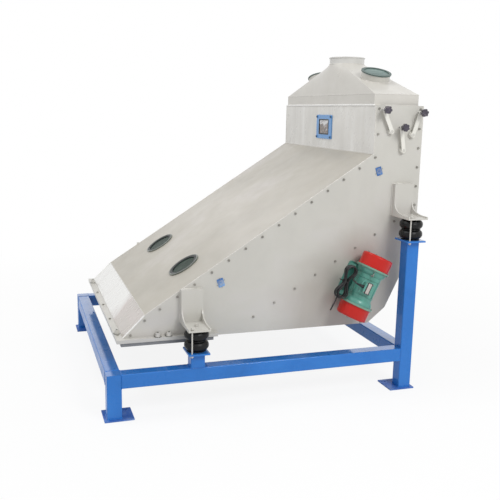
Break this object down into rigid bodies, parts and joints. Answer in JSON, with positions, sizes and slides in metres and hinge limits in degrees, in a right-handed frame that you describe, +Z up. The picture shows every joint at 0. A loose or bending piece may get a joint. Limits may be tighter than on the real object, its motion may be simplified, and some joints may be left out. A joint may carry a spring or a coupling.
{
  "type": "vibrating sieve",
  "caption": "Sloping steel box sieve with stacked screen decks and round windows, on rubber bellows over a tube frame, shaken by vibration motors on its sides.",
  "frame": {"origin": "on the floor, in the middle of the four anchor holes of the base frame", "axes": "+X along the length towards the high feed end, +Y across the width towards the far side, +Z up"},
  "size_m": [2.414, 2.3378, 2.52],
  "materials": {
    "frame_blue": "glossy blue enamel",
    "box_cream": "satin cream enamel",
    "black_rubber": "matt black rubber",
    "plain_steel": "plain steel",
    "grey_steel": "satin grey enamel",
    "clear_glass": "clear flat glass",
    "sight_blue": "glossy blue enamel",
    "motor_green": "semi-gloss green enamel over cast iron",
    "motor_red": "semi-gloss red enamel",
    "winding": "laminated iron with varnished windings",
    "black_plastic": "matt black plastic",
    "cable_rubber": "smooth black rubber sheath"
  },
  "bodies": {
    "base_frame": {"long_beams": "frame_blue", "cross_beams": "frame_blue", "low_legs": "frame_blue", "high_posts": "frame_blue", "short_posts": "frame_blue", "foot_plates": "frame_blue", "spring_seats": "frame_blue", "limit_rods": "plain_steel", "bellows_low_near": "black_rubber", "bellows_low_far": "black_rubber", "bellows_high_near": "black_rubber", "bellows_high_far": "black_rubber"},
    "sieve_box": {"side_plate_near": "box_cream", "side_plate_far": "box_cream", "top_cover": "box_cream", "outlet_hood": "box_cream", "inlet_front": "box_cream", "rear_panel": "box_cream", "bottom_pan": "plain_steel", "feed_hood": "box_cream", "inlet_spout": "box_cream", "port_collars": "box_cream", "window_seals": "black_rubber", "window_glasses": "clear_glass", "sight_frame": "sight_blue", "outlet_flange": "box_cream", "outlet_collar": "grey_steel", "outlet_dividers": "plain_steel", "deck_frames": "plain_steel", "deck_screens": "plain_steel", "deck_rails": "plain_steel", "clamp_nuts": "box_cream", "spring_brackets": "box_cream", "spring_studs": "plain_steel", "motor_beam": "box_cream", "motor_housings": "motor_green", "motor_stators": "winding", "motor_bearings": "plain_steel", "motor_covers": "motor_red", "terminal_boxes": "motor_green", "cable_glands": "black_plastic", "cable_hank": "cable_rubber", "cable_lead": "cable_rubber", "cable_tail": "cable_rubber", "flap_bearings": "grey_steel", "angle_plates": "sight_blue", "box_bolts": "plain_steel"},
    "near_rotor": {"near_motor_shaft": "plain_steel", "near_motor_weights": "plain_steel"},
    "far_rotor": {"far_motor_shaft": "plain_steel", "far_motor_weights": "plain_steel"},
    "gate_1": {"flap_1": "box_cream", "flap_lever_1": "box_cream"},
    "knob_1": {"star_knob_1": "black_plastic"},
    "gate_2": {"flap_2": "box_cream", "flap_lever_2": "box_cream"},
    "knob_2": {"star_knob_2": "black_plastic"},
    "gate_3": {"flap_3": "box_cream", "flap_lever_3": "box_cream"},
    "knob_3": {"star_knob_3": "black_plastic"}
  },
  "joints": [
    {"name": "box_shake", "type": "slide", "parent": "base_frame", "child": "sieve_box", "axis": [-0.9063, 0, 0.4226], "range_m": [-0.005, 0.005], "stiffness_N_per_m": 300000, "springref_m": 0.01658, "deforming": ["bellows_low_near", "bellows_low_far", "bellows_high_near", "bellows_high_far"]},
    {"name": "near_motor_spin", "type": "hinge", "parent": "sieve_box", "child": "near_rotor", "pos_m": [0.752, -1.045, 0.804], "axis": [0.4226, 0, 0.9063], "continuous": true},
    {"name": "far_motor_spin", "type": "hinge", "parent": "sieve_box", "child": "far_rotor", "pos_m": [0.752, 1.045, 0.804], "axis": [0.4226, 0, 0.9063], "continuous": true},
    {"name": "flap_1_swing", "type": "hinge", "parent": "sieve_box", "child": "gate_1", "pos_m": [0.973, 0, 1.935], "axis": [0, 1, 0], "range_deg": [-10, 35]},
    {"name": "knob_1_turn", "type": "hinge", "parent": "gate_1", "child": "knob_1", "pos_m": [0.90073, -0.95, 2.08998], "axis": [0, -1, 0], "range_deg": [0, 360]},
    {"name": "flap_2_swing", "type": "hinge", "parent": "sieve_box", "child": "gate_2", "pos_m": [1.079, 0, 1.797], "axis": [0, 1, 0], "range_deg": [-12, 14]},
    {"name": "knob_2_turn", "type": "hinge", "parent": "gate_2", "child": "knob_2", "pos_m": [1.05225, -0.95, 1.96589], "axis": [0, -1, 0], "range_deg": [0, 360]},
    {"name": "flap_3_swing", "type": "hinge", "parent": "sieve_box", "child": "gate_3", "pos_m": [1.151, 0, 1.912], "axis": [0, 1, 0], "range_deg": [-23, 12]},
    {"name": "knob_3_turn", "type": "hinge", "parent": "gate_3", "child": "knob_3", "pos_m": [1.20384, -0.95, 2.07463], "axis": [0, -1, 0], "range_deg": [0, 360]}
  ],
  "couplings": [
    {"joint": "far_motor_spin", "follows": "near_motor_spin", "ratio": -1}
  ]
}
